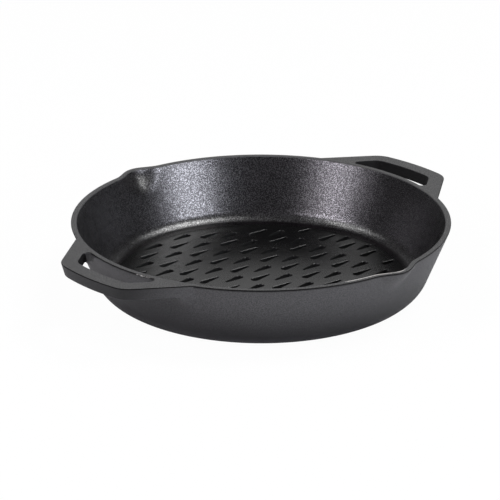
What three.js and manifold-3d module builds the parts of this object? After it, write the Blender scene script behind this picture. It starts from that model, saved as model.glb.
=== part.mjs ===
// Cast iron grill basket: a round flared pan whose floor is pierced by rows of teardrop slots,
// with two loop handles and two pour spouts cast into its rim.
//
// Millimetres, +Z up. The origin is the centre of the flat underside.
// The handles lie on the X axis and the pour spouts on the Y axis.
// The basket is a single casting, divided here at its features: the floor, the rounded base ring,
// the walls, the spouts and the handles. A hairline joint separates neighbouring pieces.

import * as THREE from "three";
import { mergeVertices } from "three/addons/utils/BufferGeometryUtils.js";
import Module from "manifold-3d";

const wasm = await Module();
wasm.setup();

const { degToRad, smoothstep } = THREE.MathUtils;

// Bowl
const RIM_RADIUS = 155; // outside edge of the rim
const HEIGHT = 58.5; // underside to the top of the rim
const FLARE = degToRad(21.6); // lean of the wall from the vertical
const RIM_WIDTH = 4.6; // flat top of the rim, measured along a radius
const RIM_EDGE = 0.7; // softened edges of the rim
const FLOOR_THICKNESS = 6;
const OUTER_FILLET = 23; // between the underside and the wall
const INNER_FILLET = 14; // between the cooking floor and the wall
const FLOOR_RADIUS = 120.5; // where the floor ends and the base ring begins
const BASE_HEIGHT = 16; // where the base ring ends, just above the fillets

// Pour spouts, pressed outwards from the wall
const SPOUT_REACH = 6.6;
const SPOUT_HALF_ANGLE = degToRad(9);
const SPOUT_DROP = 21; // how far below the rim the spout fades out
const SPOUT_FOOT_WIDTH = 0.5; // width of its foot as a share of its width at the rim
const SPOUT_PIECE_WIDTH = 56;

// Loop handles, flush with the rim
const HANDLE_REACH = 186; // radius of the outside of the grip, an arc about the axis of the pan
const HANDLE_HALF_WIDTH = 37.2; // at the ends of that arc
const HANDLE_THICKNESS = 10;
const HANDLE_DRAFT = 2.5; // the underside is this much smaller all round
const HANDLE_CORNER = 8;
const ARM_ANGLE = degToRad(36); // spread of the arms towards the pan
const GRIP_WIDTH = 12; // from the outside of the grip to the finger hole
const ARM_WIDTH = 13.4; // likewise across an arm
const FINGER_HALF_LENGTH = 39; // where the hole's ends are cut off straight
const FINGER_DRAFT = 0.8; // the hole is this much larger underneath
const FINGER_CORNER = 4;

// Drain slots, in rows along X with two kinds of row in turn
const ROW_PITCH = 12.4;
const ROWS_EACH_SIDE = 9;
const SLOT_HEAD = 3.1; // radius of the broad end
const SLOT_TAIL = 1.1; // radius of the narrow end
const SLOT_DRAFT = 0.4; // narrower underneath by this much each side
const SLOT_RAMP = 6; // run of the sloping left end
const SLOT_FIELD = 119.4; // no slot goes past this radius
const SHORTEST_SLOT = 12;
const SLOTS_EACH_SIDE = 4;
// A row's slots stand a pitch apart, the first of them that share of a pitch from the middle.
// Each reaches to the left and right of its place and ends there in a round of its own radius.
const HEAD_LEFT = {
  pitch: 34.4,
  first: 0,
  toLeft: 10,
  toRight: 10,
  left: SLOT_HEAD,
  right: SLOT_TAIL,
};
const HEAD_RIGHT = {
  pitch: 32.3,
  first: 0.5,
  toLeft: 11.8,
  toRight: 6.6,
  left: SLOT_TAIL,
  right: SLOT_HEAD,
};

// Fineness of the facets
const TURN_STEPS = 88;
const TURN_BUNCHING = 0.55; // gathers the steps of a full turn around the spouts
const WALL_STEPS = 5;
const ARC_STEPS = 2;
const SLOT_ARC_STEPS = 2;

const JOINT = 0.3; // hairline between neighbouring pieces
const OVERSHOOT = 2; // how far a cutter runs past what it cuts

// Closed surface to solid, and solid back to a surface.
function solidOf(geometry) {
  geometry.deleteAttribute("normal");
  geometry.deleteAttribute("uv");
  const merged = mergeVertices(geometry);
  return new wasm.Manifold(
    new wasm.Mesh({
      numProp: 3,
      vertProperties: new Float32Array(merged.attributes.position.array),
      triVerts: new Uint32Array(merged.index.array),
    }),
  );
}

function surfaceOf(solid) {
  const { vertProperties, triVerts } = solid.getMesh();
  const geometry = new THREE.BufferGeometry();
  geometry.setAttribute("position", new THREE.BufferAttribute(vertProperties, 3));
  geometry.setIndex(new THREE.BufferAttribute(triVerts, 1));
  geometry.computeVertexNormals();
  return geometry;
}

// Radius of the wall's two faces at a height.
const outsideAt = (z) => RIM_RADIUS - (HEIGHT - z) * Math.tan(FLARE);
const insideAt = (z) => outsideAt(z) - RIM_WIDTH;

// Centre of the arc that joins a level surface at height z to a face of the wall.
function filletCentre(radiusAt, z, fillet) {
  return new THREE.Vector2(radiusAt(z + fillet) - fillet / Math.cos(FLARE), z + fillet);
}

// Section of the bowl from the axis, round the outside, over the rim and back to the axis.
function bowlSection() {
  const outer = filletCentre(outsideAt, 0, OUTER_FILLET);
  const inner = filletCentre(insideAt, FLOOR_THICKNESS, INNER_FILLET);
  const outerTop = outer.y - OUTER_FILLET * Math.sin(FLARE);
  const innerTop = inner.y - INNER_FILLET * Math.sin(FLARE);
  const shoulder = HEIGHT - RIM_EDGE;
  const path = new THREE.Path();
  path.moveTo(0, 0);
  path.lineTo(outer.x, 0);
  path.absarc(outer.x, outer.y, OUTER_FILLET, -Math.PI / 2, -FLARE, false);
  for (let step = 1; step <= WALL_STEPS; step++) {
    const z = THREE.MathUtils.lerp(outerTop, shoulder, step / WALL_STEPS);
    path.lineTo(outsideAt(z), z);
  }
  path.quadraticCurveTo(RIM_RADIUS, HEIGHT, RIM_RADIUS - RIM_EDGE, HEIGHT);
  path.lineTo(insideAt(HEIGHT) + RIM_EDGE, HEIGHT);
  path.quadraticCurveTo(insideAt(HEIGHT), HEIGHT, insideAt(shoulder), shoulder);
  for (let step = WALL_STEPS - 1; step >= 1; step--) {
    const z = THREE.MathUtils.lerp(innerTop, shoulder, step / WALL_STEPS);
    path.lineTo(insideAt(z), z);
  }
  path.absarc(inner.x, inner.y, INNER_FILLET, -FLARE, -Math.PI / 2, true);
  path.lineTo(0, FLOOR_THICKNESS);
  return path.getPoints(ARC_STEPS);
}

// How far the spout stands out from the round wall, at an angle from its middle and a height.
function spoutReach(angle, z) {
  const rise = smoothstep(z, HEIGHT - SPOUT_DROP, HEIGHT);
  const halfAngle = SPOUT_HALF_ANGLE * THREE.MathUtils.lerp(SPOUT_FOOT_WIDTH, 1, rise);
  const across = Math.min(Math.abs(angle) / halfAngle, 1);
  return SPOUT_REACH * rise * 0.5 * (1 + Math.cos(Math.PI * across));
}

// Turns a section about the Z axis, with the steps gathered near the Y axis.
function turned(section, reachAt = () => 0) {
  const geometry = new THREE.LatheGeometry(section, TURN_STEPS);
  geometry.rotateX(Math.PI / 2);
  const position = geometry.attributes.position;
  for (let i = 0; i < position.count; i++) {
    const even = Math.atan2(position.getY(i), position.getX(i));
    const angle = even + (TURN_BUNCHING / 2) * Math.sin(2 * even);
    const fromSpout = Math.abs(angle) - Math.PI / 2;
    const plain = Math.hypot(position.getX(i), position.getY(i));
    const radius = plain + (plain > 0 ? reachAt(fromSpout, position.getZ(i)) : 0);
    position.setXY(i, radius * Math.cos(angle), radius * Math.sin(angle));
  }
  return solidOf(geometry);
}

// Plain round plug about the Z axis, whose radius may differ at its two ends.
function plug(lowRadius, highRadius, zLow, zHigh) {
  return turned([
    new THREE.Vector2(0, zLow),
    new THREE.Vector2(lowRadius, zLow),
    new THREE.Vector2(highRadius, zHigh),
    new THREE.Vector2(0, zHigh),
  ]);
}

// Solid through a stack of convex outlines, lowest first. All run counter-clockwise with as many points.
function loft(...levels) {
  const count = levels[0].outline.length;
  const positions = levels.flatMap(({ outline, z }) => outline.flatMap((point) => [point.x, point.y, z]));
  const index = [];
  for (let level = 1; level < levels.length; level++) {
    const below = (level - 1) * count;
    const above = level * count;
    for (let i = 0; i < count; i++) {
      const next = (i + 1) % count;
      index.push(below + i, below + next, above + next, below + i, above + next, above + i);
    }
  }
  const lid = (levels.length - 1) * count;
  for (const [a, b, c] of THREE.ShapeUtils.triangulateShape(levels[0].outline, [])) {
    index.push(lid + a, lid + b, lid + c, c, b, a);
  }
  const geometry = new THREE.BufferGeometry();
  geometry.setAttribute("position", new THREE.Float32BufferAttribute(positions, 3));
  geometry.setIndex(index);
  return solidOf(geometry);
}

// Tapered hole between two levels, carried straight on past both.
function hole(low, high, zLow, zHigh) {
  return loft(
    { outline: low, z: zLow - OVERSHOOT },
    { outline: low, z: zLow },
    { outline: high, z: zHigh },
    { outline: high, z: zHigh + OVERSHOOT },
  );
}

// Outline of the loop on the +X side, moved in by a distance at the grip and at the arms: an arc for the
// grip, softened corners and straight arms that spread back to x = root, or only to half the given length.
function loopOutline(gripInset, armInset, corner, root, halfLength = Infinity) {
  const radius = HANDLE_REACH - gripInset;
  const arm = new THREE.Vector2(-Math.cos(ARM_ANGLE), Math.sin(ARM_ANGLE));
  const outward = new THREE.Vector2(Math.sin(ARM_ANGLE), Math.cos(ARM_ANGLE));
  const gripEnd = new THREE.Vector2(Math.sqrt(HANDLE_REACH ** 2 - HANDLE_HALF_WIDTH ** 2), HANDLE_HALF_WIDTH);
  const side = gripEnd.addScaledVector(outward, -armInset);
  const along = side.dot(arm);
  const travel = -along - Math.sqrt(along ** 2 - side.lengthSq() + radius ** 2);
  const tip = side.clone().addScaledVector(arm, travel); // where the arm's side meets the arc
  const leaves = tip.clone().addScaledVector(arm, corner);
  const arcEnd = tip.angle() - corner / radius;
  const rootHalfWidth = Math.min(tip.y + (tip.x - root) * Math.tan(ARM_ANGLE), halfLength);
  const armEnd = tip.x - (rootHalfWidth - tip.y) / Math.tan(ARM_ANGLE);
  const isCutOff = rootHalfWidth === halfLength;
  const shape = new THREE.Shape();
  shape.moveTo(root, -rootHalfWidth);
  if (isCutOff) shape.lineTo(armEnd, -rootHalfWidth);
  shape.lineTo(leaves.x, -leaves.y);
  shape.quadraticCurveTo(tip.x, -tip.y, radius * Math.cos(arcEnd), -radius * Math.sin(arcEnd));
  shape.absarc(0, 0, radius, -arcEnd, arcEnd, false);
  shape.quadraticCurveTo(tip.x, tip.y, leaves.x, leaves.y);
  if (isCutOff) shape.lineTo(armEnd, rootHalfWidth);
  shape.lineTo(root, rootHalfWidth);
  return shape.getPoints(2 * ARC_STEPS);
}

// Loop handle on the +X side, cut to the wall that it grows from.
function loopHandle() {
  const underside = HEIGHT - HANDLE_THICKNESS;
  const root = insideAt(underside) * Math.cos(ARM_ANGLE);
  const body = loft(
    { outline: loopOutline(HANDLE_DRAFT, HANDLE_DRAFT, HANDLE_CORNER, root), z: underside },
    { outline: loopOutline(0, 0, HANDLE_CORNER, root), z: HEIGHT },
  );
  const fingerOutline = (draft) =>
    loopOutline(GRIP_WIDTH - draft, ARM_WIDTH - draft, FINGER_CORNER, root, FINGER_HALF_LENGTH + draft);
  const fingerHole = hole(fingerOutline(FINGER_DRAFT), fingerOutline(0), underside, HEIGHT);
  const foot = underside - OVERSHOOT;
  const top = HEIGHT + OVERSHOOT;
  const wall = plug(outsideAt(foot) + JOINT, outsideAt(top) + JOINT, foot, top);
  return body.subtract(fingerHole).subtract(wall);
}

// Teardrop between two ends on a row, round at both with their own radii.
function teardrop(left, right, y, leftRadius, rightRadius) {
  const leftCentre = left + leftRadius;
  const rightCentre = right - rightRadius;
  const tangent = Math.acos((leftRadius - rightRadius) / (rightCentre - leftCentre));
  const shape = new THREE.Shape();
  shape.absarc(rightCentre, y, rightRadius, -tangent, tangent, false);
  shape.absarc(leftCentre, y, leftRadius, tangent, 2 * Math.PI - tangent, false);
  return shape.getPoints(SLOT_ARC_STEPS);
}

// One slot through the floor, with its left end sloping down to the opening underneath.
function slot(left, right, y, kind) {
  const lowLeft = kind.left - SLOT_DRAFT;
  const lowRight = kind.right - SLOT_DRAFT;
  const mouth = teardrop(left, right, y, kind.left, kind.right);
  const underneath = teardrop(left + SLOT_RAMP, right - SLOT_DRAFT, y, lowLeft, lowRight);
  return hole(underneath, mouth, 0, FLOOR_THICKNESS);
}

// All the slots. A slot that would cross the edge of the field is shortened, or left out if too short.
function slotField() {
  const slots = [];
  for (let row = -ROWS_EACH_SIDE; row <= ROWS_EACH_SIDE; row++) {
    const y = row * ROW_PITCH;
    const kind = row % 2 === 0 ? HEAD_LEFT : HEAD_RIGHT;
    const edge = Math.sqrt(Math.max(SLOT_FIELD ** 2 - (Math.abs(y) + SLOT_HEAD) ** 2, 0));
    for (let place = -SLOTS_EACH_SIDE; place < SLOTS_EACH_SIDE; place++) {
      const x = (place + kind.first) * kind.pitch;
      const left = Math.max(x - kind.toLeft, -edge);
      const right = Math.min(x + kind.toRight, edge);
      if (right - left >= SHORTEST_SLOT) slots.push(slot(left, right, y, kind));
    }
  }
  return slots;
}

// Block around the wall on the -Y side, where the spout is parted from the walls beside it.
function spoutBlock(growth) {
  const tall = HEIGHT + OVERSHOOT - BASE_HEIGHT;
  const block = new THREE.BoxGeometry(SPOUT_PIECE_WIDTH + 2 * growth, RIM_RADIUS, tall);
  block.translate(0, -RIM_RADIUS, BASE_HEIGHT + tall / 2);
  return solidOf(block);
}

// Everything on the +X side of the pan's middle.
function rightSide() {
  const side = new THREE.BoxGeometry(2 * RIM_RADIUS, 4 * RIM_RADIUS, 4 * HEIGHT);
  side.translate(RIM_RADIUS, 0, 0);
  return solidOf(side);
}

const bowl = turned(bowlSection(), spoutReach);
const seat = -OVERSHOOT;
const above = HEIGHT + OVERSHOOT;
const floorPlug = plug(FLOOR_RADIUS, FLOOR_RADIUS, seat, above);
const wallPlug = plug(FLOOR_RADIUS + JOINT, FLOOR_RADIUS + JOINT, seat, above);

const floor = slotField().reduce((plate, cut) => plate.subtract(cut), bowl.intersect(floorPlug));
const ring = bowl.subtract(wallPlug);
const outside = 2 * RIM_RADIUS;
const baseRing = ring.intersect(plug(outside, outside, seat, BASE_HEIGHT));
const upperRing = ring.subtract(plug(outside, outside, seat, BASE_HEIGHT + JOINT));
const spout = upperRing.intersect(spoutBlock(0));
const frontGap = spoutBlock(JOINT);
const rearGap = frontGap.rotate([0, 0, 180]);
const wall = upperRing.subtract(frontGap).subtract(rearGap).intersect(rightSide());
const handle = loopHandle();

// Seasoned iron: dull and grainy outside, with more sheen where food is cooked
const outsideIron = { color: 0x343436, roughness: 0.62, metalness: 0.35 };
const insideIron = { color: 0x303033, roughness: 0.5, metalness: 0.35 };

function piece(name, solid, iron, halfTurn = false) {
  const mesh = new THREE.Mesh(surfaceOf(solid), new THREE.MeshStandardMaterial(iron));
  mesh.name = name;
  mesh.rotation.z = halfTurn ? Math.PI : 0;
  return mesh;
}

const basket = new THREE.Group();
basket.name = "grill_basket";
basket.add(
  piece("slotted_floor", floor, insideIron),
  piece("base_ring", baseRing, insideIron),
  piece("right_wall", wall, insideIron),
  piece("left_wall", wall, insideIron, true),
  piece("front_spout", spout, insideIron),
  piece("rear_spout", spout, insideIron, true),
  piece("right_handle", handle, outsideIron),
  piece("left_handle", handle, outsideIron, true),
);

export default basket;
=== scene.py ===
"""Cast iron grill basket: a round flared pan with a slotted floor, two pour spouts and two loop handles.

Metres, +Z up. The handles lie on the X axis and the pour spouts on the Y axis. The floor, the wall
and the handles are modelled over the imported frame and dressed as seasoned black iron.
"""

import logging
import math
from dataclasses import dataclass, replace
from enum import Enum
from functools import cached_property
from typing import Any, Callable, Sequence

import bmesh
import bpy
from mathutils import Matrix, Quaternion, Vector


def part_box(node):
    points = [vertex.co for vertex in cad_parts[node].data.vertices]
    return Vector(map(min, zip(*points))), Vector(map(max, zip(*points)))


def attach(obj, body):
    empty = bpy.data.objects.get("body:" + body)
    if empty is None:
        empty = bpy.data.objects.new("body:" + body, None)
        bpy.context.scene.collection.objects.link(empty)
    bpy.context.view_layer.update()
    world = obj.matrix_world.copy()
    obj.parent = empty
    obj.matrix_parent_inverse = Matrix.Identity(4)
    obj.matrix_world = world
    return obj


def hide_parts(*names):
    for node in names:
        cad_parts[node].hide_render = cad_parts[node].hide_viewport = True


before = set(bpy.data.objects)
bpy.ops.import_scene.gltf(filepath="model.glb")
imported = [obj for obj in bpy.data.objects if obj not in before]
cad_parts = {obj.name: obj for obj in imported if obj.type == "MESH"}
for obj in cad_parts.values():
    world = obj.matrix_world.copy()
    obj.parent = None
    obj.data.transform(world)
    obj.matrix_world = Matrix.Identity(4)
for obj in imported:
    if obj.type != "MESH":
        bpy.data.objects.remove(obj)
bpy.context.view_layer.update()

MM = 0.001
BODY = "root"
# Edges painted near-black, as shade
SHADE_EDGE = "oiled_edge"
# Rim edges painted bright: partly real wear, partly painted highlight
WORN_AND_GLINT = "worn_edge"
# Points nearer to each other than this are one
MERGE_DISTANCE = 0.001 * MM
# A face is level where its normal's Z passes this
LEVEL = 0.97
# Edges sharper than this stay sharp
SHARPEST = math.radians(40)
log = logging.getLogger("grill_basket")

Piece = bpy.types.Object
Finish = bpy.types.Material
Test = Callable[[Any], bool]
RadiusAt = Callable[[float], float]
Settings = dict[str, Any]
Sockets = dict[Any, Any]
Colour = tuple[float, float, float, float]


# Modelling by hand

class Element(Enum):
    """What a selection is made of."""

    VERT = "verts"
    EDGE = "edges"
    FACE = "faces"


def take_up(*pieces: Piece) -> None:
    """Selects these objects alone, or none, and makes the last of them active.

    Args:
        pieces: the objects to work on.
    """
    bpy.ops.object.select_all(action="DESELECT")
    for piece in pieces:
        piece.select_set(True)
        bpy.context.view_layer.objects.active = piece


def added(name: str, primitive: Callable[..., Any], **sizes: Any) -> Piece:
    """Adds a primitive.

    Args:
        name: the piece's name.
        primitive: the operator that adds it.
        sizes: the operator's settings.

    Returns:
        The new object, selected alone.
    """
    take_up()
    primitive(**sizes)
    piece = bpy.context.active_object
    piece.name = name
    piece.data.name = name
    return piece


def copy_of(model: Piece, name: str, move: Matrix) -> Piece:
    """Copies an object to another place.

    Args:
        model: the object.
        name: the copy's name.
        move: how the copy's mesh is moved or turned.

    Returns:
        The copy, with its own mesh.
    """
    copy = model.copy()
    copy.data = model.data.copy()
    copy.name = name
    copy.data.name = name
    copy.data.transform(move)
    bpy.context.collection.objects.link(copy)
    return copy


@dataclass
class Bench:
    """Edit-mode work on one mesh object."""

    piece: Piece

    def __enter__(self) -> "Bench":
        """Opens the piece in edit mode with everything selected.

        Returns:
            The bench.
        """
        take_up(self.piece)
        bpy.ops.object.mode_set(mode="EDIT")
        bpy.ops.mesh.select_mode(type=Element.VERT.name)
        bpy.ops.mesh.select_all(action="SELECT")
        return self

    def __exit__(self, *_: Any) -> None:
        """Goes back to object mode."""
        bpy.ops.object.mode_set(mode="OBJECT")

    def pick(self, element: Element, wanted: Test) -> None:
        """Selects what a test accepts, and nothing else.

        Args:
            element: whether vertices, edges or faces are tested.
            wanted: the test.
        """
        bpy.ops.mesh.select_mode(type=element.name)
        bpy.ops.mesh.select_all(action="DESELECT")
        mesh = bmesh.from_edit_mesh(self.piece.data)
        mesh.normal_update()
        chosen = [item for item in getattr(mesh, element.value) if wanted(item)]
        for item in chosen:
            item.select_set(True)
        mesh.select_flush_mode()
        bmesh.update_edit_mesh(self.piece.data)

    def ring(self, points: Sequence[Vector]) -> None:
        """Draws a closed ring of edges by extruding a single vertex, and selects all.

        Args:
            points: the places to pass, in order.
        """
        bpy.ops.mesh.select_all(action="DESELECT")
        bpy.ops.mesh.primitive_plane_add(size=MM)
        bpy.ops.mesh.merge(type="CENTER")
        bpy.ops.transform.translate(value=points[0])
        for start, end in zip(points, [*points[1:], points[0]]):
            bpy.ops.mesh.extrude_vertices_move(TRANSFORM_OT_translate={"value": end - start})
        self.weld()

    def weld(self) -> None:
        """Merges vertices that lie on each other."""
        bpy.ops.mesh.select_all(action="SELECT")
        bpy.ops.mesh.remove_doubles(threshold=MERGE_DISTANCE)

    def face_outwards(self) -> None:
        """Turns every face of a closed shape outwards."""
        bpy.ops.mesh.select_all(action="SELECT")
        bpy.ops.mesh.normals_make_consistent(inside=False)


def blank(name: str) -> Piece:
    """Adds a small plane and empties it, as the start of a drawn outline.

    Args:
        name: the piece's name.

    Returns:
        An object at the origin with no vertices yet.
    """
    piece = added(name, bpy.ops.mesh.primitive_plane_add, size=MM)
    with Bench(piece):
        bpy.ops.mesh.delete(type="VERT")
    return piece


def smooth_shade(piece: Piece) -> None:
    """Shades a piece smooth but for its sharp edges, with its large faces kept flat.

    Args:
        piece: the object.
    """
    take_up(piece)
    bpy.ops.object.shade_smooth_by_angle(angle=SHARPEST)
    weighted = piece.modifiers.new("large_faces_lead", "WEIGHTED_NORMAL")
    weighted.keep_sharp = True
    bpy.ops.object.modifier_apply(modifier=weighted.name)


def lies_at(edge: Any, z: float) -> bool:
    """True if both ends of an edge are at a height."""
    return all(abs(vertex.co.z - z) < MERGE_DISTANCE for vertex in edge.verts)


def bearing(place: Vector) -> float:
    """Angle of a place about the Z axis, from the X axis."""
    return math.atan2(place.y, place.x)


def push_out(place: Vector, distance: float) -> None:
    """Moves a point away from the Z axis."""
    place.xy *= 1 + distance / place.xy.length


def shares(steps: int) -> list[float]:
    """Even shares from 0 to 1, both included."""
    return [step / steps for step in range(steps + 1)]


def arc(centre: Vector, start: Vector, end: Vector, steps: int) -> list[Vector]:
    """Points of the shorter arc about a centre in one horizontal plane, both ends included.

    Args:
        centre: the arc's centre.
        start: its first point.
        end: its last point.
        steps: how many straight steps it has.

    Returns:
        The points in order.
    """
    from_angle = bearing(start - centre)
    turn = (bearing(end - centre) - from_angle + math.pi) % math.tau - math.pi
    points = []
    for share in shares(steps):
        angle = from_angle + turn * share
        radius = (start - centre).length * (1 - share) + (end - centre).length * share
        points.append(centre + radius * Vector((math.cos(angle), math.sin(angle), 0)))
    return points


def bend(start: Vector, corner: Vector, end: Vector, steps: int) -> list[Vector]:
    """Points of a soft bend, from its start towards a corner and on to its end, both included."""
    return [start.lerp(corner, share).lerp(corner.lerp(end, share), share) for share in shares(steps)]


def smoothstep(value: float, low: float, high: float) -> float:
    """Soft ramp from 0 at low to 1 at high."""
    share = min(max((value - low) / (high - low), 0.0), 1.0)
    return share * share * (3 - 2 * share)


def finish(piece: Piece, finishes: Sequence[Finish], *tests: Test) -> None:
    """Puts one finish on a whole piece and others on the faces that their tests accept.

    Args:
        piece: the mesh object.
        finishes: the finish of the whole, then one for each test.
        tests: which faces get the finishes after the first.
    """
    for material in finishes:
        piece.data.materials.append(material)
    with Bench(piece) as bench:
        for index, test in enumerate(tests):
            bench.pick(Element.FACE, test)
            piece.active_material_index = index + 1
            bpy.ops.object.material_slot_assign()


def mark(piece: Piece, name: str, amount: Callable[[Any], float]) -> None:
    """Stores a number on each vertex, for the finishes.

    Args:
        piece: the mesh object.
        name: the attribute's name.
        amount: the number for a vertex.
    """
    layer = piece.data.attributes.new(name, "FLOAT", "POINT")
    for vertex in piece.data.vertices:
        layer.data[vertex.index].value = amount(vertex)


# The bowl's shape, shared by every piece

@dataclass(frozen=True)
class BowlShape:
    """Section of the bowl, which is turned about the Z axis."""

    rim_radius: float
    height: float
    floor_radius: float
    flare: float = math.radians(21.6)
    rim_width: float = 4.6 * MM
    rim_edge: float = 0.7 * MM
    floor_thickness: float = 6 * MM
    outer_fillet: float = 23 * MM
    inner_fillet: float = 14 * MM
    arm_blend: float = 12 * MM
    turn_steps: int = 360

    @property
    def shoulder(self) -> float:
        """Height at which the rim's edges start to round over."""
        return self.height - self.rim_edge

    def outside_at(self, z: float) -> float:
        """Radius of the wall's outer face at a height."""
        return self.rim_radius - (self.height - z) * math.tan(self.flare)

    def inside_at(self, z: float) -> float:
        """Radius of the wall's inner face at a height."""
        return self.outside_at(z) - self.rim_width

    def fillet_centre(self, radius_at: RadiusAt, z: float, fillet: float) -> Vector:
        """Centre, in the XZ plane, of the arc from a level surface to a face of the wall."""
        return Vector((radius_at(z + fillet) - fillet / math.cos(self.flare), 0, z + fillet))


@dataclass(frozen=True)
class Spout:
    """Pour spout, pressed outwards from the wall on the Y axis."""

    bowl: BowlShape
    reach: float
    half_angle: float = math.radians(9)
    drop: float = 21 * MM
    foot_width: float = 0.5

    def stands_out(self, place: Vector) -> float:
        """How far the wall stands out from the round at a place.

        Args:
            place: a point of the round wall.

        Returns:
            The distance along the radius.
        """
        rise = smoothstep(place.z, self.bowl.height - self.drop, self.bowl.height)
        half_angle = self.half_angle * (self.foot_width + (1 - self.foot_width) * rise)
        angle = abs(math.atan2(place.x, abs(place.y)))
        across = min(angle / half_angle, 1.0)
        return self.reach * rise * 0.5 * (1 + math.cos(math.pi * across))


@dataclass(frozen=True)
class WornAndGlintStretch:
    """A stretch of the rim's inner or outer edge painted as bright bare iron, partly real wear and partly
    painted highlight, in degrees from the X axis.
    """

    middle: float
    half_angle: float
    inner: bool
    most: float

    def amount(self, place: Vector, inner: bool) -> float:
        """How much wear and painted highlight the edge has at a place.

        Args:
            place: a point of the rim.
            inner: whether it belongs to the rim's inner edge.

        Returns:
            A number from 0 to 1.
        """
        if inner != self.inner:
            return 0.0
        turn = math.degrees(bearing(place)) - self.middle
        inside = self.half_angle - abs((turn + 180) % 360 - 180)
        return self.most * smoothstep(inside, 0.0, self.half_angle / 2)


@dataclass(frozen=True)
class BasketWall:
    """Fillet, flared wall and rim with both pour spouts, turned about the axis as one shell."""

    bowl: BowlShape
    spout_tip: float
    arm_fade: float = math.radians(2)
    fillet_steps: int = 14
    wall_steps: int = 32
    edge_steps: int = 4
    # Stretches of the rim's edges with wear and painted highlight
    wear_and_glint: tuple[WornAndGlintStretch, ...] = (
        WornAndGlintStretch(middle=-99, half_angle=15, inner=True, most=1.0),
        WornAndGlintStretch(middle=-169.5, half_angle=5, inner=False, most=0.68),
    )

    @cached_property
    def spout(self) -> Spout:
        """The spouts' shape, from how far they reach past the round rim."""
        return Spout(self.bowl, reach=self.spout_tip - max(point.x for point in self.section()))

    def face(self, radius_at: RadiusAt, z: float, fillet: float, rounding: float) -> list[Vector]:
        """One face of the wall in section, from where the floor piece ends up to the rim's level top.

        Args:
            radius_at: the face's radius at a height.
            z: height of the level surface that it rises from.
            fillet: radius of its foot.
            rounding: how far its upper edge reaches along the radius, inwards where it is below 0.

        Returns:
            Points in the XZ plane.
        """
        bowl = self.bowl
        centre = bowl.fillet_centre(radius_at, z, fillet)
        first = math.asin((bowl.floor_radius - centre.x) / fillet)
        last = math.pi / 2 - bowl.flare
        leans = [first + (last - first) * share for share in shares(self.fillet_steps)]
        foot = [centre + fillet * Vector((math.sin(lean), 0, -math.cos(lean))) for lean in leans]
        corner = Vector((radius_at(bowl.height), 0, bowl.height))
        shoulder = Vector((radius_at(bowl.shoulder), 0, bowl.shoulder))
        edge = bend(shoulder, corner, corner + Vector((rounding, 0, 0)), self.edge_steps)
        straight = [foot[-1].lerp(shoulder, share) for share in shares(self.wall_steps)[1:-1]]
        return foot + straight + edge

    def section(self) -> list[Vector]:
        """Closed section of the wall: up the inside, over the rim and down the outside.

        Returns:
            Points in the XZ plane.
        """
        bowl = self.bowl
        inside = self.face(bowl.inside_at, bowl.floor_thickness, bowl.inner_fillet, bowl.rim_edge)
        outside = self.face(bowl.outside_at, 0, bowl.outer_fillet, -bowl.rim_edge)
        return inside + outside[::-1]

    def arm_swell(self, place: Vector, handle: "LoopHandle") -> float:
        """How far the casting carries the sides of the handles' arms down into the wall at a place.

        Args:
            place: a point of the wall.
            handle: the handle on the +X side.

        Returns:
            The distance along the radius.
        """
        bowl = self.bowl
        if place.xy.length < bowl.outside_at(place.z) - bowl.rim_width / 2:
            return 0.0
        angle = math.atan2(abs(place.y), abs(place.x))
        reach = min(handle.stands_out(angle), bowl.arm_blend)
        reach *= smoothstep(angle - handle.arm_middle(), -self.arm_fade, self.arm_fade)
        below = handle.underside - place.z
        depth = bowl.arm_blend if below > 0 else bowl.height - handle.underside
        return reach * (1 - smoothstep(abs(below), 0.0, depth))

    def build(self, handle: "LoopHandle") -> Piece:
        """Models the wall.

        Args:
            handle: the handle on the +X side, whose arms the wall carries.

        Returns:
            The finished mesh object.
        """
        piece = blank("basket_wall")
        with Bench(piece) as bench:
            bench.ring(self.section())
            bpy.ops.mesh.spin(steps=self.bowl.turn_steps, angle=math.tau, center=(0, 0, 0), axis=(0, 0, 1))
            bench.weld()
            bench.face_outwards()
        for vertex in piece.data.vertices:
            push_out(vertex.co, self.spout.stands_out(vertex.co))
            push_out(vertex.co, self.arm_swell(vertex.co, handle))
        smooth_shade(piece)
        return piece

    def dress(self, piece: Piece, *finishes: Finish) -> None:
        """Puts finishes of their own on the inside and on the rim's level top, and marks the rim's edges:
        the outer edge for painted shade, and stretches for wear with painted highlight.

        Args:
            piece: the wall.
            finishes: those of the outside, the inside and the top of the rim.
        """
        bowl = self.bowl
        lowest = bowl.shoulder - MERGE_DISTANCE

        def faces_food(face: Any) -> bool:
            """True on the inner side, below the rim."""
            middle = face.calc_center_median()
            return middle.z < bowl.shoulder and face.normal.z > face.normal.xy.dot(middle.xy.normalized())

        def is_rim_top(face: Any) -> bool:
            """True on the level top."""
            return face.normal.z > LEVEL and face.calc_center_median().z > bowl.shoulder

        def is_inner(vertex: Any) -> bool:
            """True on the inner half of the rim."""
            round_radius = vertex.co.xy.length - self.spout.stands_out(vertex.co)
            return round_radius < bowl.rim_radius - bowl.rim_width / 2

        def shade_edge_amount(vertex: Any) -> float:
            """1 on the outer edge, which is painted near-black as shade."""
            return float(vertex.co.z > lowest and vertex.normal.z < LEVEL and not is_inner(vertex))

        def worn_and_glint(vertex: Any) -> float:
            """Wear and painted highlight of the rim, with none on the outer half of its level top."""
            takes_wear_and_glint = vertex.co.z >= lowest and (vertex.normal.z <= LEVEL or is_inner(vertex))
            return max(part.amount(vertex.co, is_inner(vertex)) for part in self.wear_and_glint) if takes_wear_and_glint else 0.0

        finish(piece, finishes, faces_food, is_rim_top)
        mark(piece, SHADE_EDGE, shade_edge_amount)
        mark(piece, WORN_AND_GLINT, worn_and_glint)


# The slotted floor

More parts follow.
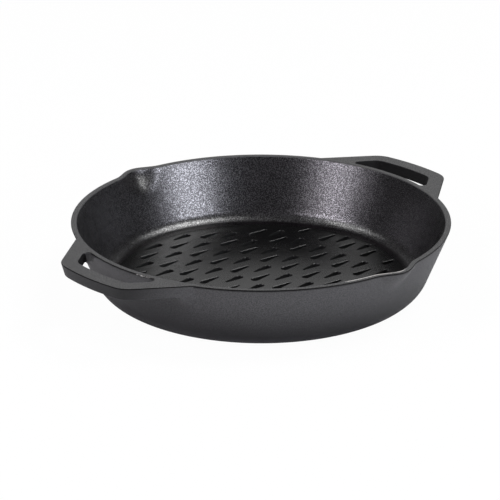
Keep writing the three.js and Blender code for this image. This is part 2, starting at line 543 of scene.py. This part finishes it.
@dataclass(frozen=True)
class SlotKind:
    """One kind of teardrop slot, along a row, with a round of its own radius at each end."""

    pitch: float
    first: float
    to_left: float
    to_right: float
    left_radius: float
    right_radius: float


class SlotRow(Enum):
    """The two kinds of row that take turns across the floor."""

    HEAD_LEFT = SlotKind(34.4 * MM, 0.0, 10 * MM, 10 * MM, 3.1 * MM, 1.1 * MM)
    HEAD_RIGHT = SlotKind(32.3 * MM, 0.5, 11.8 * MM, 6.6 * MM, 1.1 * MM, 3.1 * MM)


@dataclass(frozen=True)
class CookingFloor:
    """Flat floor, pierced by rows of teardrop slots with rounded lips and a sloping left end."""

    bowl: BowlShape
    row_pitch: float = 12.4 * MM
    rows_each_side: int = 9
    slots_each_side: int = 4
    slot_field: float = 119.4 * MM
    shortest_slot: float = 12 * MM
    slot_draft: float = 0.4 * MM
    slot_ramp: float = 6 * MM
    top_lip: float = 0.4 * MM
    low_lip: float = 0.35 * MM
    overshoot: float = 0.6 * MM
    lip_angles: tuple[float, ...] = tuple(math.radians(degrees) for degrees in (75, 50, 25, 0))
    slot_sides: int = 24
    brim_steps: int = 4
    steep: float = 0.5  # most that a side's normal rises or falls

    def plate(self) -> Piece:
        """Models the unpierced floor, whose underside starts to round up towards the wall.

        Returns:
            The plate.
        """
        bowl = self.bowl
        centre = bowl.fillet_centre(bowl.outside_at, 0, bowl.outer_fillet)
        brim = math.asin((bowl.floor_radius - centre.x) / bowl.outer_fillet)
        low = centre.z - bowl.outer_fillet * math.cos(brim)
        piece = added(
            "cooking_floor",
            bpy.ops.mesh.primitive_cylinder_add,
            vertices=bowl.turn_steps,
            radius=bowl.floor_radius,
            depth=bowl.floor_thickness - low,
        )
        with Bench(piece) as bench:
            bpy.ops.transform.translate(value=(0, 0, (bowl.floor_thickness + low) / 2))
            bench.pick(Element.FACE, lambda face: face.normal.z < -LEVEL)
            radius = bowl.floor_radius
            z = low
            for share in shares(self.brim_steps)[1:]:
                lean = brim * (1 - share)
                next_radius = centre.x + bowl.outer_fillet * math.sin(lean)
                next_z = centre.z - bowl.outer_fillet * math.cos(lean)
                bpy.ops.mesh.inset(thickness=radius - next_radius, depth=0)
                bpy.ops.transform.translate(value=(0, 0, next_z - z))
                radius = next_radius
                z = next_z
        return piece

    def levels(self) -> list[tuple[float, float, float]]:
        """Levels of a slot from above the floor to below it.

        Returns:
            For each, its height, how far its outline stands out, and how far down the ramp it is.
        """
        top = self.bowl.floor_thickness
        rings = [(top + self.overshoot, self.top_lip, 0.0)]
        for angle in self.lip_angles:
            depth = self.top_lip * (1 - math.sin(angle))
            rings.append((top - depth, self.top_lip * (1 - math.cos(angle)), depth / top))
        for angle in reversed(self.lip_angles):
            height = self.low_lip * (1 - math.sin(angle))
            flare = self.low_lip * (1 - math.cos(angle))
            rings.append((height, flare - self.slot_draft, 1 - height / top))
        rings.append((-self.overshoot, self.low_lip - self.slot_draft, 1.0))
        return rings

    def cutter(self, kind: SlotKind) -> Piece:
        """Models the space of one slot in the middle of the floor.

        Args:
            kind: the slot's shape in plan.

        Returns:
            A closed solid that reaches past both faces of the floor.
        """
        round_end = {"vertices": self.slot_sides, "radius": kind.left_radius}
        piece = added("slot", bpy.ops.mesh.primitive_circle_add, **round_end)
        left = kind.left_radius - kind.to_left
        right = kind.to_right - kind.right_radius
        tangent = math.acos((kind.left_radius - kind.right_radius) / (right - left))
        split = kind.left_radius * math.cos(tangent)
        levels = self.levels()
        with Bench(piece) as bench:
            bench.pick(Element.VERT, lambda vertex: vertex.co.x > split)
            share = kind.right_radius / kind.left_radius
            bpy.ops.transform.resize(value=(share, share, 1), center_override=(0, 0, 0))
            bpy.ops.transform.translate(value=(right, 0, 0))
            bench.pick(Element.VERT, lambda vertex: vertex.co.x < split + MERGE_DISTANCE)
            bpy.ops.transform.translate(value=(left, 0, 0))
            ends = ((left, kind.left_radius), (right, kind.right_radius))
            height = 0.0
            for index, (z, stands_out, down) in enumerate(levels):
                bench.pick(Element.EDGE, lambda edge: lies_at(edge, height))
                if index:
                    bpy.ops.mesh.extrude_edges_move(TRANSFORM_OT_translate={"value": (0, 0, z - height)})
                else:
                    bpy.ops.transform.translate(value=(0, 0, z))
                height = z
                middle = (ends[0][0] + ends[1][0]) / 2
                next_ends = (
                    (left + self.slot_ramp * down, kind.left_radius + stands_out),
                    (right, kind.right_radius + stands_out),
                )
                for on_right, (old, new) in enumerate(zip(ends, next_ends)):
                    bench.pick(
                        Element.VERT,
                        lambda vertex: abs(vertex.co.z - z) < MERGE_DISTANCE
                        and (vertex.co.x > middle) == bool(on_right),
                    )
                    grow = new[1] / old[1]
                    bpy.ops.transform.resize(value=(grow, grow, 1), center_override=(old[0], 0, z))
                    bpy.ops.transform.translate(value=(new[0] - old[0], 0, 0))
                ends = next_ends
                if index in (0, len(levels) - 1):
                    bench.pick(Element.EDGE, lambda edge: lies_at(edge, z))
                    bpy.ops.mesh.edge_face_add()
            bench.face_outwards()
        return piece

    def placed(self, model: Piece, kind: SlotKind, x: float, y: float) -> Piece | None:
        """Copies a slot to a place in its row, shortened where it would cross the edge of the field.

        Args:
            model: the slot as modelled in the middle of the floor.
            kind: its shape.
            x: its place along the row.
            y: its row.

        Returns:
            The copy, or None where too little of the slot is left.
        """
        broad = max(kind.left_radius, kind.right_radius)
        edge = math.sqrt(max(self.slot_field**2 - (abs(y) + broad) ** 2, 0.0))
        cut_left = max(-edge - (x - kind.to_left), 0.0)
        cut_right = max(x + kind.to_right - edge, 0.0)
        if kind.to_left + kind.to_right - cut_left - cut_right < self.shortest_slot:
            return None
        copy = copy_of(model, "placed_slot", Matrix.Translation((x, y, 0)))
        middle = x + (kind.to_right - kind.right_radius - kind.to_left + kind.left_radius) / 2
        for vertex in copy.data.vertices:
            fraction_down = min(max(1 - vertex.co.z / self.bowl.floor_thickness, 0.0), 1.0)
            on_left = vertex.co.x < middle + self.slot_ramp * fraction_down / 2
            vertex.co.x += cut_left if on_left else -cut_right
        return copy

    def slots(self) -> Piece:
        """Models both kinds of slot once and sets copies of them out in their rows.

        Returns:
            All the slots as one object.
        """
        models = {row: self.cutter(row.value) for row in SlotRow}
        copies = []
        for number in range(-self.rows_each_side, self.rows_each_side + 1):
            row = SlotRow.HEAD_LEFT if number % 2 == 0 else SlotRow.HEAD_RIGHT
            kind = row.value
            for place in range(-self.slots_each_side, self.slots_each_side):
                x = (place + kind.first) * kind.pitch
                copies.append(self.placed(models[row], kind, x, number * self.row_pitch))
        copies = [copy for copy in copies if copy]
        log.info("%d slots", len(copies))
        take_up(*copies)
        bpy.ops.object.join()
        for model in models.values():
            bpy.data.objects.remove(model)
        return bpy.context.active_object

    def build(self) -> Piece:
        """Models the floor.

        Returns:
            The finished mesh object.
        """
        slots = self.slots()
        piece = self.plate()
        take_up(piece)
        pierce = piece.modifiers.new("pierce", "BOOLEAN")
        pierce.operation = "DIFFERENCE"
        pierce.solver = "EXACT"
        pierce.object = slots
        bpy.ops.object.modifier_apply(modifier=pierce.name)
        bpy.data.objects.remove(slots)
        smooth_shade(piece)
        return piece

    def dress(self, piece: Piece, *finishes: Finish) -> None:
        """Puts finishes on the top, on the underside and in the slots, in that order; the slots' finish
        reflects less, as painted shade.
        """
        tests = (lambda face: face.normal.z < -self.steep, lambda face: abs(face.normal.z) <= self.steep)
        finish(piece, finishes, *tests)


# The loop handles

@dataclass(frozen=True)
class LoopHandle:
    """Loop handle cast into the rim, whose grip and finger hole follow arcs about the basket's axis."""

    bowl: BowlShape
    reach: float
    underside: float
    half_width: float = 37.2 * MM
    draft: float = 2.5 * MM
    corner: float = 8 * MM
    arm_angle: float = math.radians(36)
    grip_width: float = 13.2 * MM
    arm_width: float = 13.4 * MM
    finger_draft: float = 0.4 * MM
    finger_corner: float = 4 * MM
    arm_fillet: float = 5 * MM
    finger_fillet: float = 4 * MM
    top_edge: float = 0.8 * MM
    low_edge: float = 0.4 * MM
    below_rim: float = 0.02 * MM
    sunk: float = 0.3 * MM
    root_depth: float = 3 * MM
    steep: float = 0.6  # most that a side's normal rises or falls
    edge_lean: float = 0.1  # least that a rounded edge's normal rises
    grip_steps: int = 14
    bend_steps: int = 6
    arm_steps: int = 6
    root_steps: int = 6
    edge_steps: int = 4

    @staticmethod
    def crossing(start: Vector, heading: Vector, radius: float) -> float:
        """How far along a straight line its first crossing of a circle about the axis lies."""
        along = start.dot(heading)
        return -along - math.sqrt(along * along - start.length_squared + radius * radius)

    def side(
        self, grip_inset: float, arm_inset: float, soft: float, fillet: float, wall: float, out: int
    ) -> list[Vector]:
        """Half of one side of the loop in plan: along the grip, round its end and along the arm.

        Args:
            grip_inset: how far the side lies inside the loop's outer side along the grip.
            arm_inset: how far it does along the arm.
            soft: how far from the end of the grip its bend begins and ends.
            fillet: radius where the side meets the wall.
            wall: radius of the wall.
            out: 1 where the fillet lies away from the X axis, and -1 where it lies towards it.

        Returns:
            Points from the middle of the grip to the wall.
        """
        arm = Vector((-math.cos(self.arm_angle), math.sin(self.arm_angle), 0))
        outward = Vector((math.sin(self.arm_angle), math.cos(self.arm_angle), 0))
        radius = self.reach - grip_inset
        grip_end = Vector((math.sqrt(self.reach**2 - self.half_width**2), self.half_width, 0))
        start = grip_end - outward * arm_inset
        tip = start + arm * self.crossing(start, arm, radius)
        turn = bearing(tip) - soft / radius
        angles = [turn * share for share in shares(self.grip_steps)]
        grip = [radius * Vector((math.cos(angle), math.sin(angle), 0)) for angle in angles]
        corner = bend(grip[-1], tip, tip + arm * soft, self.bend_steps)
        shifted = tip + outward * (fillet * out)
        travel = self.crossing(shifted, arm, wall + fillet)
        centre = shifted + arm * travel
        touches = centre * (wall / centre.length)
        leaves = tip + arm * travel
        straight = [corner[-1].lerp(leaves, share) for share in shares(self.arm_steps)[1:-1]]
        return grip[:-1] + corner + straight + arc(centre, leaves, touches, self.bend_steps)

    def sides(self, z: float, drop: float) -> tuple[list[Vector], list[Vector]]:
        """Half of the loop's outer side and of its finger hole in plan.

        Args:
            z: height at which they meet the wall.
            drop: 0 at the top and 1 at the underside.

        Returns:
            The points of each, from the middle of the grip to the wall.
        """
        wall = self.bowl.outside_at(z) - self.sunk
        inset = self.draft * drop
        widening = self.finger_draft * drop
        outer = self.side(inset, inset, self.corner, self.arm_fillet, wall, 1)
        hole = (self.grip_width - widening, self.arm_width - widening)
        inner = self.side(*hole, self.finger_corner, self.finger_fillet, wall, -1)
        return outer, inner

    @cached_property
    def undersides(self) -> tuple[list[Vector], list[Vector]]:
        """Half of the underside's outer side and of its finger hole in plan."""
        return self.sides(self.underside, 1.0)

    def arm_middle(self) -> float:
        """Angle from the X axis at which the middle of an arm's underside meets the wall."""
        outer, inner = self.undersides
        return (bearing(inner[-1]) + bearing(outer[-1])) / 2

    def stands_out(self, angle: float) -> float:
        """How far the outer side of the underside lies from the wall.

        Args:
            angle: where, as an angle from the X axis.

        Returns:
            The distance along the radius, or 0 beside the arm.
        """
        outer, _ = self.undersides
        for start, end in zip(outer, outer[1:]):
            first = bearing(start)
            last = bearing(end)
            if first <= angle < last:
                share = (angle - first) / (last - first)
                return start.length * (1 - share) + end.length * share - outer[-1].length
        return 0.0

    def outline(self, z: float, drop: float) -> list[Vector]:
        """Closed outline of the handle in plan, a U whose ends are sunk in the wall.

        Args:
            z: height of the outline.
            drop: 0 at the top and 1 at the underside.

        Returns:
            Points all round.
        """
        outer, inner = self.sides(z, drop)
        shrink = 1 - self.root_depth / outer[-1].length
        root = arc(Vector(), outer[-1] * shrink, inner[-1] * shrink, self.root_steps)
        half = outer + root + inner[::-1]
        mirrored = [Vector((point.x, -point.y, 0)) for point in reversed(half[1:-1])]
        return [point + Vector((0, 0, z)) for point in half + mirrored]

    def build(self, name: str) -> Piece:
        """Models the handle on the +X side.

        Args:
            name: the piece's name.

        Returns:
            The finished mesh object.
        """
        top = self.bowl.height - self.below_rim
        piece = blank(name)
        with Bench(piece) as bench:
            bench.ring(self.outline(top, 0.0))
            bench.ring(self.outline(self.underside, 1.0))
            bpy.ops.mesh.bridge_edge_loops()
            for z in (top, self.underside):
                bench.pick(Element.EDGE, lambda edge: lies_at(edge, z))
                bpy.ops.mesh.edge_face_add()
            bench.face_outwards()
            top_root = self.bowl.outside_at(top) - self.root_depth / 2
            low_root = self.bowl.outside_at(self.underside) + self.bowl.arm_blend
            edges = ((top, self.top_edge, top_root), (self.underside, self.low_edge, low_root))
            for z, size, root in edges:
                bench.pick(
                    Element.EDGE,
                    lambda edge: lies_at(edge, z) and all(v.co.xy.length > root for v in edge.verts),
                )
                bpy.ops.mesh.bevel(offset=size, segments=self.edge_steps)
        smooth_shade(piece)
        return piece

    def dress(self, piece: Piece, *finishes: Finish) -> None:
        """Puts finishes of their own on the finger hole's sides and the level top, and marks the outer
        upper edge for painted shade.

        Args:
            piece: the handle.
            finishes: those of the rest, of the finger hole, which reflects less as painted shade, and of
                the top.
        """
        def lines_hole(face: Any) -> bool:
            """True on an upright face that looks towards the basket."""
            inward = face.normal.xy.dot(face.calc_center_median().xy) < 0
            return inward and abs(face.normal.z) < self.steep

        def is_outer_edge(vertex: Any) -> float:
            """1 on the rounded upper edge that looks away from the basket, which is painted near-black as
            shade.
            """
            rounded = self.edge_lean < vertex.normal.z < LEVEL and vertex.normal.xy.dot(vertex.co.xy) > 0
            return float(rounded and vertex.co.z > self.bowl.height - self.top_edge)

        finish(piece, finishes, lines_hole, lambda face: face.normal.z > LEVEL)
        mark(piece, SHADE_EDGE, is_outer_edge)

    def turned(self, model: Piece, name: str) -> Piece:
        """Copies the handle to the other side by a half turn about the axis."""
        return copy_of(model, name, Matrix.Rotation(math.pi, 4, "Z"))


# Shader graphs

@dataclass
class Signal:
    """A number in a shader, with Python operators that add Math nodes."""

    graph: "Graph"
    socket: bpy.types.NodeSocket

    def math(self, operation: str, first: Any, second: Any) -> "Signal":
        """Adds a Math node on two values or links."""
        return self.graph.signal("ShaderNodeMath", {"operation": operation}, {0: first, 1: second})

    def __add__(self, other: Any) -> "Signal":
        """Sum."""
        return self.math("ADD", self, other)

    __radd__ = __add__

    def __sub__(self, other: Any) -> "Signal":
        """Difference."""
        return self.math("SUBTRACT", self, other)

    def __rsub__(self, other: Any) -> "Signal":
        """Difference from a number."""
        return self.math("SUBTRACT", other, self)

    def __mul__(self, other: Any) -> "Signal":
        """Product."""
        return self.math("MULTIPLY", self, other)

    __rmul__ = __mul__

    def ramp(self, low: float, high: float) -> "Signal":
        """Soft ramp of this number from 0 at low to 1 at high."""
        sockets = {"Value": self, "From Min": low, "From Max": high}
        return self.graph.signal("ShaderNodeMapRange", {"interpolation_type": "SMOOTHSTEP"}, sockets)

    def swing(self, amount: float) -> "Signal":
        """This noise about its middle, which is one half, made larger or smaller."""
        return (self - 0.5) * amount


class Graph:
    """A node tree that is written as expressions."""

    def __init__(self, tree: bpy.types.NodeTree) -> None:
        """Empties the tree."""
        self.tree = tree
        tree.nodes.clear()

    def node(self, kind: str, settings: Settings | None = None, sockets: Sockets | None = None) -> Any:
        """Adds one node.

        Args:
            kind: the node's type.
            settings: its properties, set before its sockets.
            sockets: a value or a link for each input, by name or number.

        Returns:
            The node.
        """
        node = self.tree.nodes.new(kind)
        for name, value in (settings or {}).items():
            setattr(node, name, value)
        for name, value in (sockets or {}).items():
            link = value.socket if isinstance(value, Signal) else value
            if isinstance(link, bpy.types.NodeSocket):
                self.tree.links.new(link, node.inputs[name])
            else:
                node.inputs[name].default_value = value
        return node

    def signal(self, kind: str, settings: Settings, sockets: Sockets, output: Any = 0) -> Signal:
        """Adds one node and gives one of its outputs as a number."""
        return Signal(self, self.node(kind, settings, sockets).outputs[output])

    def rays(self, kind: str) -> Signal:
        """1 for rays of a kind, such as Camera or Glossy, and 0 for others."""
        return self.signal("ShaderNodeLightPath", {}, {}, f"Is {kind} Ray")

    def attribute(self, name: str) -> Signal:
        """A number that is stored on the mesh."""
        return self.signal("ShaderNodeAttribute", {"attribute_name": name}, {}, "Fac")

    def noise(self, place: Any, size: float, detail: float = 2.0, roughness: float = 0.6) -> Signal:
        """Noise around one half, with features of a size in metres."""
        sockets = {"Vector": place, "Scale": 1 / size, "Detail": detail, "Roughness": roughness}
        return self.signal("ShaderNodeTexNoise", {}, sockets)

    def blend(self, share: Any, first: Any, second: Any) -> bpy.types.NodeSocket:
        """Mixes two colours, which the node takes at inputs 6 and 7 and gives at output 2."""
        return self.node("ShaderNodeMix", {"data_type": "RGBA"}, {0: share, 6: first, 7: second}).outputs[2]


# Finishes

def grey(level: float, warmth: float = 0.0) -> Colour:
    """A grey with a little warmth, or coolness where warmth is below 0."""
    return (level * (1 + warmth), level, level * (1 - warmth), 1.0)


class Measure(Enum):
    """What a finish changes along: the axes that count, in X, Y and Z."""

    HEIGHT = (0, 0, 1)
    REACH = (1, 1, 0)


@dataclass(frozen=True)
class SeasonedIron:
    """Oil-seasoned iron as cast: sand grain and bare iron on its tops, marked edges painted near-black as
    shade, and worn edges of bright bare iron that are partly painted highlight.

    Where rough_at is given, the grain and its bare tops fade along the measure, from full there
    to none at calm_at.
    """

    name: str
    dark: Colour
    light: Colour
    iron: Colour
    roughness: float
    refraction: float
    grain_size: float
    grain_depth: float
    bare_tops: float = 0.0
    tops_spread: float = 0.1
    specular_tint: float = 1.0
    measure: Measure = Measure.HEIGHT
    calm_at: float = 0.0
    rough_at: float = 0.0
    # Bright bare iron of the worn edges, partly painted highlight
    worn_and_glint: Colour = grey(0.75, 0.03)
    # Near-black of the edges painted as shade
    edge_shade: Colour = grey(0.003)
    edge_shade_cover: float = 0.9
    tops_level: float = 0.53
    fine_grain: float = 1 / 2.7
    coarse_relief: float = 0.6
    oil_patch: float = 28 * MM
    oil_tone: float = 1.6
    grain_tone: float = 2.2
    oil_sheen: float = 0.14
    grain_sheen: float = 0.16
    wear_and_glint_sheen: float = 0.1
    scuff_and_glint_size: float = 1.6 * MM
    scuff_and_glint_range: tuple[float, float] = (0.1, 0.36)

    def make(self) -> Finish:
        """Makes the material.

        Returns:
            A procedural material on Object coordinates and the mesh's edge attributes.
        """
        material = bpy.data.materials.new(self.name)
        material.use_nodes = True
        graph = Graph(material.node_tree)
        place = graph.node("ShaderNodeTexCoord").outputs["Object"]
        grain = graph.noise(place, self.grain_size)
        fine = graph.noise(place, self.grain_size * self.fine_grain)
        oil = graph.noise(place, self.oil_patch, detail=3.0)
        # Bright bare iron in flecks on the marked rim: partly real wear, partly painted highlight
        scuffs_and_glints = graph.noise(place, self.scuff_and_glint_size, detail=3.0, roughness=0.7)
        wear_and_glint = (scuffs_and_glints + graph.attribute(WORN_AND_GLINT) - 1).ramp(*self.scuff_and_glint_range)
        # Near-black metal on the marked edges: painted shade
        edge_shade = graph.attribute(SHADE_EDGE) * (1 - wear_and_glint) * self.edge_shade_cover
        coarse = 1.0
        if self.rough_at:
            masked = {0: place, 1: self.measure.value}
            along = graph.node("ShaderNodeVectorMath", {"operation": "MULTIPLY"}, masked).outputs[0]
            length = graph.signal("ShaderNodeVectorMath", {"operation": "LENGTH"}, {0: along}, "Value")
            coarse = length.ramp(self.calm_at, self.rough_at)
        bare = grain.ramp(self.tops_level - self.tops_spread, self.tops_level + self.tops_spread)
        tops = bare * self.bare_tops * coarse
        tone = oil.swing(self.oil_tone) + grain.swing(self.grain_tone) + 0.5
        colour = graph.blend(tone.ramp(0.0, 1.0), self.dark, self.light)
        colour = graph.blend(tops, colour, self.iron)
        colour = graph.blend(edge_shade, colour, self.edge_shade)
        colour = graph.blend(wear_and_glint, colour, self.worn_and_glint)
        sheen = oil.swing(self.oil_sheen) + fine.swing(self.grain_sheen) - wear_and_glint * self.wear_and_glint_sheen
        relief = (grain * self.coarse_relief + fine * (1 - self.coarse_relief)) * coarse
        bump = graph.node("ShaderNodeBump", {}, {"Height": relief, "Distance": self.grain_depth})
        surface = {
            "Base Color": colour,
            "Roughness": self.roughness + sheen,
            "Metallic": tops + (wear_and_glint + edge_shade) * (1 - tops),
            "IOR": self.refraction,
            "Specular Tint": grey(self.specular_tint),
            "Normal": bump.outputs[0],
        }
        shader = graph.node("ShaderNodeBsdfPrincipled", {}, surface)
        graph.node("ShaderNodeOutputMaterial", {}, {"Surface": shader.outputs[0]})
        return material


WALL_IRON = SeasonedIron(
    "wall_iron",
    dark=(0.0008, 0.0005, 0.0008, 1.0),
    light=(0.0038, 0.0026, 0.0036, 1.0),
    iron=grey(0.15),
    roughness=0.28,
    refraction=2.0,
    specular_tint=0.35,
    grain_size=1.0 * MM,
    grain_depth=0.14 * MM,
    bare_tops=0.95,
    tops_spread=0.065,
    calm_at=6.8 * MM,
    rough_at=8.4 * MM,
)
FLOOR_IRON = SeasonedIron(
    "floor_iron",
    dark=grey(0.0008, -0.03),
    light=grey(0.0016, -0.03),
    iron=grey(0.20),
    roughness=0.25,
    refraction=1.58,
    grain_size=1.2 * MM,
    grain_depth=0.02 * MM,
)
# Bare tops thin out towards the bottom, so the lower outer wall renders darker: painted shade
OUTSIDE_IRON = SeasonedIron(
    "outside_iron",
    dark=grey(0.003),
    light=grey(0.006),
    iron=grey(0.25),
    roughness=0.53,
    refraction=1.40,
    grain_size=0.9 * MM,
    grain_depth=0.03 * MM,
    bare_tops=0.44,
    tops_spread=0.55,
    calm_at=4 * MM,
    rough_at=50 * MM,
)
# On the handles' sides the bare tops thin out from the arms towards the grip, so the grip's sides render
# darker: painted shade
SIDE_IRON = replace(
    OUTSIDE_IRON,
    name="side_iron",
    measure=Measure.REACH,
    calm_at=184 * MM,
    rough_at=152 * MM,
)
# Sides of the slots and finger holes: iron that reflects less, as painted shade in the recesses
SLOT_SHADE_IRON = SeasonedIron(
    "slot_iron",
    dark=grey(0.003),
    light=grey(0.005),
    iron=grey(0.05),
    roughness=0.7,
    refraction=1.3,
    grain_size=1.2 * MM,
    grain_depth=0.1 * MM,
)
TOP_IRON = SeasonedIron(
    "top_iron",
    dark=grey(0.005),
    light=grey(0.010),
    iron=grey(0.20),
    roughness=0.47,
    refraction=1.5,
    grain_size=0.8 * MM,
    grain_depth=0.06 * MM,
    bare_tops=0.8,
)


# Studio

def towards(azimuth: float, elevation: float) -> Vector:
    """Direction from the basket to where a camera would stand, which looks along +Y from azimuth 0.

    Args:
        azimuth: degrees round towards +X.
        elevation: degrees up.

    Returns:
        A unit vector.
    """
    turn = math.radians(azimuth)
    lift = math.radians(elevation)
    level = math.cos(lift)
    return Vector((math.sin(turn) * level, -math.cos(turn) * level, math.sin(lift)))


def set_up(data: Any, place: Vector, turn: Quaternion) -> Piece:
    """Puts a camera or a light in the scene.

    Args:
        data: the camera or the light.
        place: where it stands.
        turn: how it is turned.

    Returns:
        Its object.
    """
    stand = bpy.data.objects.new(data.name, data)
    bpy.context.scene.collection.objects.link(stand)
    stand.location = place
    stand.rotation_mode = "QUATERNION"
    stand.rotation_quaternion = turn
    return stand


@dataclass(frozen=True)
class PhotoCamera:
    """The viewpoint, worked out from the outline of the basket in the photograph."""

    azimuth: float = -43.77
    elevation: float = 21.71
    distance: float = 2.0045
    lens: float = 176.1
    sensor: float = 36.0
    target_height: float = 28 * MM
    aim_right: float = -8.95 * MM
    aim_up: float = 1.94 * MM

    def build(self) -> None:
        """Adds the camera and makes it the scene's."""
        back = towards(self.azimuth, self.elevation)
        turn = (-back).to_track_quat("-Z", "Y")
        aim = Vector((0, 0, self.target_height))
        aim += turn @ Vector((self.aim_right, self.aim_up, 0))
        data = bpy.data.cameras.new("camera")
        data.sensor_width = self.sensor
        data.lens = self.lens
        bpy.context.scene.camera = set_up(data, aim + back * self.distance, turn)


class Tint(Enum):
    """Colours of the lights."""

    WHITE = (1.0, 1.0, 1.0)
    COOL = (0.88, 0.89, 1.0)
    ROSE = (0.95, 0.90, 1.0)


@dataclass(frozen=True)
class Softbox:
    """Rectangular soft light turned towards the basket, placed in degrees beside the camera."""

    name: str
    beside_camera: float
    elevation: float
    width: float
    tall: float
    radiance: float
    tint: Tint = Tint.WHITE
    distance: float = 3.0


@dataclass(frozen=True)
class Studio:
    """White floor and backdrop in a dim room, with soft lights to both sides of the camera."""

    camera: PhotoCamera
    floor_size: float = 8.0
    floor_drop: float = 0.2 * MM
    floor_albedo: float = 0.8
    camera_white: float = 0.97
    glossy_white: float = 0.03
    room: float = 0.016
    backdrop: float = 0.68
    backdrop_edge: tuple[float, float] = (0.6, 0.85)
    lights: tuple[Softbox, ...] = (
        Softbox("right_softbox", 51, 16, 1.22, 1.65, 12.3, Tint.COOL),
        Softbox("left_softbox", -55, 30, 1.1, 1.08, 12.6, Tint.ROSE),
        Softbox("upper_right_light", 98, 61, 1.3, 1.2, 12.0),
        Softbox("upper_left_light", -92, 52, 1.4, 1.0, 5.8),
    )

    def build(self) -> None:
        """Adds the floor, the world and the lights."""
        self.lay_floor()
        self.light_room()
        for box in self.lights:
            self.hang(box)
        bpy.context.scene.view_settings.view_transform = "Standard"

    def lay_floor(self) -> None:
        """Adds the pale floor, which takes the basket's shadow."""
        lies = {"size": self.floor_size, "location": (0, 0, -self.floor_drop)}
        floor = added("floor", bpy.ops.mesh.primitive_plane_add, **lies)
        material = bpy.data.materials.new("white_paper")
        material.use_nodes = True
        graph = Graph(material.node_tree)
        mirrored = graph.rays("Glossy") + graph.rays("Transmission")
        seen = graph.rays("Camera") * self.camera_white + mirrored * self.glossy_white
        paper = graph.node("ShaderNodeBsdfDiffuse", {}, {"Color": grey(self.floor_albedo)})
        glow = graph.node("ShaderNodeEmission", {}, {"Strength": 1.0})
        mixed = graph.node("ShaderNodeMixShader", {}, {0: seen, 1: paper.outputs[0], 2: glow.outputs[0]})
        graph.node("ShaderNodeOutputMaterial", {}, {"Surface": mixed.outputs[0]})
        floor.data.materials.append(material)

    def light_room(self) -> None:
        """Lights the room: white to the camera, a white backdrop behind the basket, and dim elsewhere."""
        world = bpy.data.worlds.new("room")
        world.use_nodes = True
        graph = Graph(world.node_tree)
        direction = graph.node("ShaderNodeTexCoord").outputs["Generated"]
        both = {0: direction, 1: -towards(self.camera.azimuth, 0)}
        behind = graph.signal("ShaderNodeVectorMath", {"operation": "DOT_PRODUCT"}, both, "Value")
        height = graph.signal("ShaderNodeSeparateXYZ", {}, {0: direction}, "Z")
        backdrop = behind.ramp(*self.backdrop_edge) * (1 - height.ramp(*self.backdrop_edge))
        level = self.room + backdrop * (self.backdrop - self.room)
        strength = level + graph.rays("Camera") * (1 - level)
        shader = graph.node("ShaderNodeBackground", {}, {"Color": grey(1.0), "Strength": strength})
        graph.node("ShaderNodeOutputWorld", {}, {"Surface": shader.outputs[0]})
        bpy.context.scene.world = world

    def hang(self, box: Softbox) -> None:
        """Adds one soft light.

        Args:
            box: its place, size and brightness.
        """
        outwards = towards(self.camera.azimuth + box.beside_camera, box.elevation)
        data = bpy.data.lights.new(box.name, "AREA")
        data.shape = "RECTANGLE"
        data.size = box.width
        data.size_y = box.tall
        data.energy = box.radiance * math.pi * box.width * box.tall
        data.color = box.tint.value
        light = set_up(data, outwards * box.distance, (-outwards).to_track_quat("-Z", "Y"))
        light.visible_camera = False


# The whole basket

def register(piece: Piece, *nodes: str) -> None:
    """Ties a finished piece to the frame.

    Args:
        piece: the mesh object.
        nodes: the nodes of the frame that it stands for.
    """
    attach(piece, BODY)
    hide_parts(*nodes)
    log.info("%s: %d faces", piece.name, len(piece.data.polygons))


def main() -> None:
    """Builds the camera, the studio and the basket."""
    logging.basicConfig(level=logging.INFO, format="%(message)s")
    camera = PhotoCamera()
    camera.build()
    Studio(camera).build()

    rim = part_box("right_wall")[1]
    bowl = BowlShape(rim_radius=rim.x, height=rim.z, floor_radius=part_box("slotted_floor")[1].x)
    outside = OUTSIDE_IRON.make()
    slot_iron = SLOT_SHADE_IRON.make()
    top_iron = TOP_IRON.make()

    low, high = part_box("right_handle")
    handle = LoopHandle(bowl, reach=high.x, underside=low.z)
    wall = BasketWall(bowl, spout_tip=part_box("rear_spout")[1].y)
    shell = wall.build(handle)
    wall.dress(shell, outside, WALL_IRON.make(), top_iron)
    register(shell, "base_ring", "right_wall", "left_wall", "front_spout", "rear_spout")

    floor = CookingFloor(bowl)
    plate = floor.build()
    floor.dress(plate, FLOOR_IRON.make(), outside, slot_iron)
    register(plate, "slotted_floor")

    right = handle.build("right_loop_handle")
    handle.dress(right, SIDE_IRON.make(), slot_iron, top_iron)
    left = handle.turned(right, "left_loop_handle")
    register(right, "right_handle")
    register(left, "left_handle")


if __name__ == "__main__":
    main()
